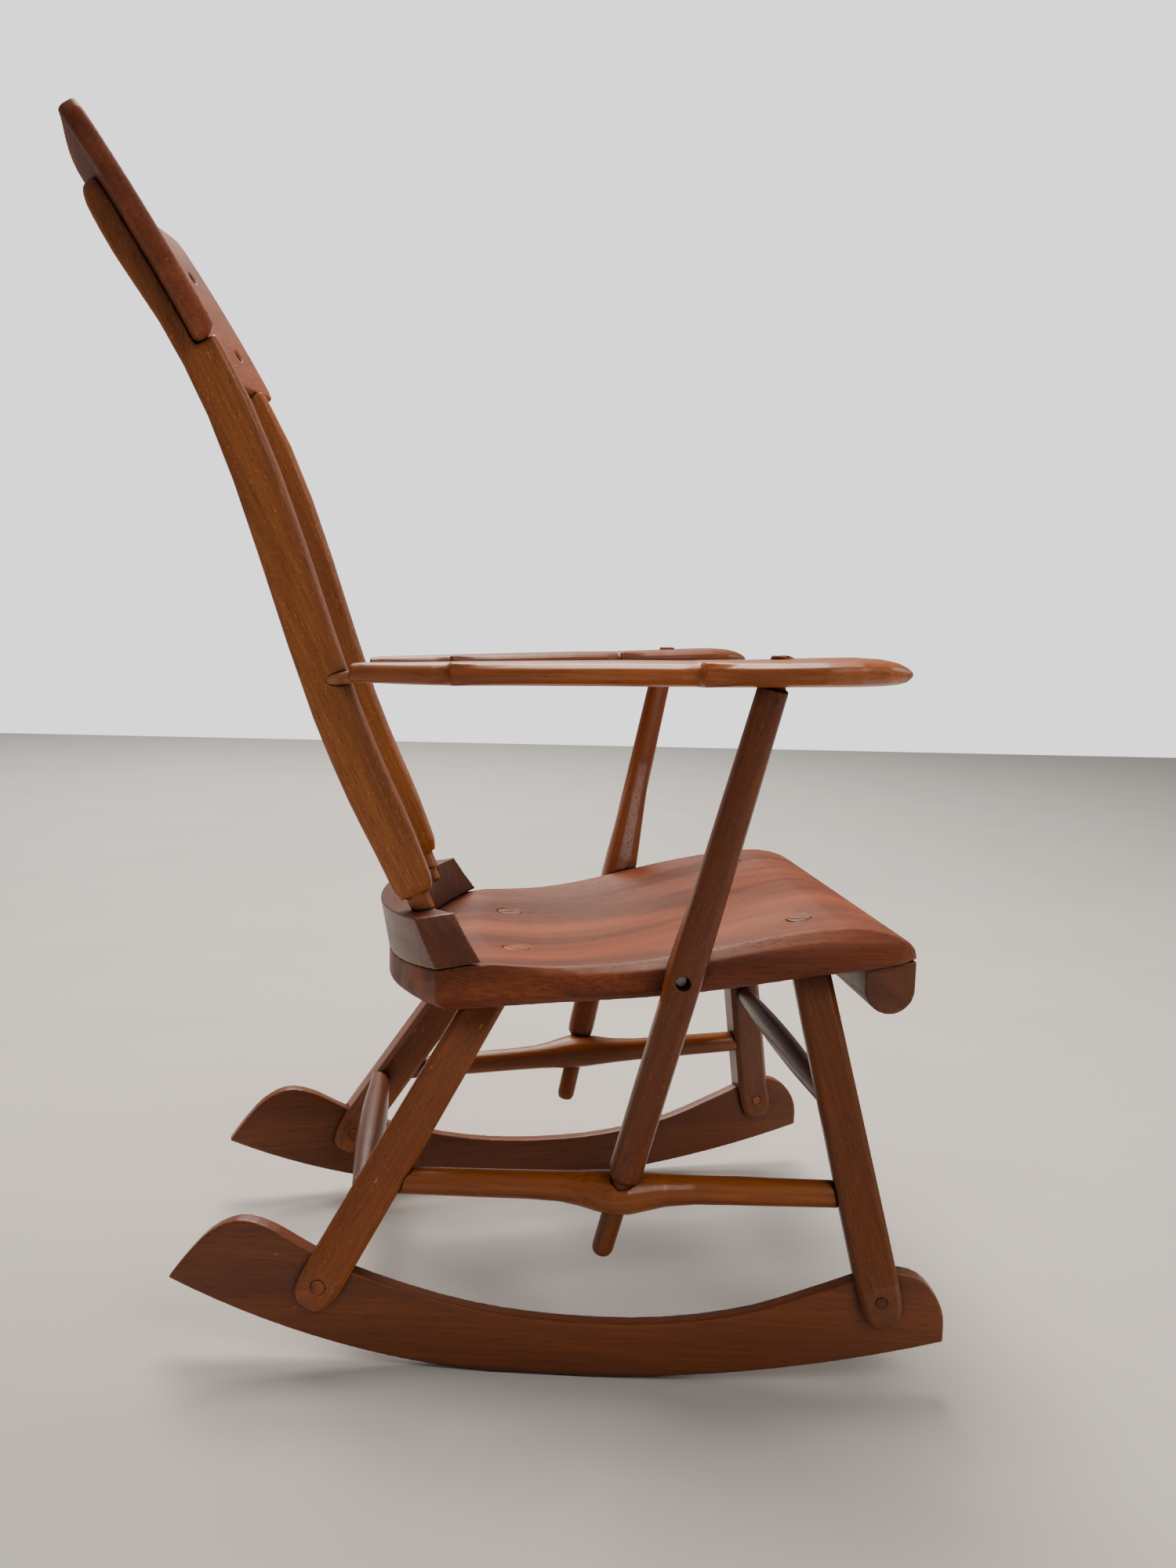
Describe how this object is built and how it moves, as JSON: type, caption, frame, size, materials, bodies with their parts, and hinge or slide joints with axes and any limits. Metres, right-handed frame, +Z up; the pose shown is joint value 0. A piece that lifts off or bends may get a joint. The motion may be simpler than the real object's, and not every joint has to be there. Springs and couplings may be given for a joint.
{
  "type": "rocking chair",
  "caption": "Handmade hardwood rocking chair with a scooped seat, raked back posts, a bowed head board, paddle arms and legs that straddle toed rockers",
  "frame": {"origin": "middle of the bounding box, on the floor the rockers stand on", "axes": "+Z up, the chair faces -Y, +X is the sitter's left"},
  "size_m": [0.722, 0.8374, 1.1374],
  "materials": {
    "teak": "oiled, satin",
    "dark_teak": "oiled, satin",
    "honey_wood": "oiled, satin",
    "peg_wood": "oiled, matt end grain",
    "steel": "plain steel"
  },
  "bodies": {
    "root": {"rail_dowel_1": "peg_wood", "rail_dowel_2": "peg_wood", "rail_dowel_3": "peg_wood", "roll_dowel_1": "peg_wood", "roll_dowel_2": "peg_wood", "roll_dowel_3": "peg_wood", "leg_rear_right": "teak", "leg_wedge_rear_right": "peg_wood", "rocker_pin_rear_right": "peg_wood", "leg_front_right": "teak", "leg_wedge_front_right": "peg_wood", "rocker_pin_front_right": "peg_wood", "rocker_right": "dark_teak", "side_stretcher_right": "teak", "arm_post_right": "honey_wood", "arm_post_screw_right": "steel", "arm_wedge_right": "peg_wood", "arm_right": "teak", "arm_dowel_right": "honey_wood", "crest_screw_lower_right": "steel", "crest_plug_lower_right": "dark_teak", "crest_screw_upper_right": "steel", "crest_plug_upper_right": "dark_teak", "back_post_right": "honey_wood", "leg_rear_left": "teak", "leg_wedge_rear_left": "peg_wood", "rocker_pin_rear_left": "peg_wood", "leg_front_left": "teak", "leg_wedge_front_left": "peg_wood", "rocker_pin_front_left": "peg_wood", "rocker_left": "dark_teak", "side_stretcher_left": "teak", "arm_post_left": "honey_wood", "arm_post_screw_left": "steel", "arm_wedge_left": "peg_wood", "arm_left": "teak", "arm_dowel_left": "honey_wood", "crest_screw_lower_left": "steel", "crest_plug_lower_left": "dark_teak", "crest_screw_upper_left": "steel", "crest_plug_upper_left": "dark_teak", "back_post_left": "honey_wood", "arm_post_plug_left": "peg_wood", "seat": "teak", "front_roll": "teak", "back_rail": "dark_teak", "crest_rail": "dark_teak", "stretcher_rear": "teak", "stretcher_front": "teak"}
  },
  "joints": []
}
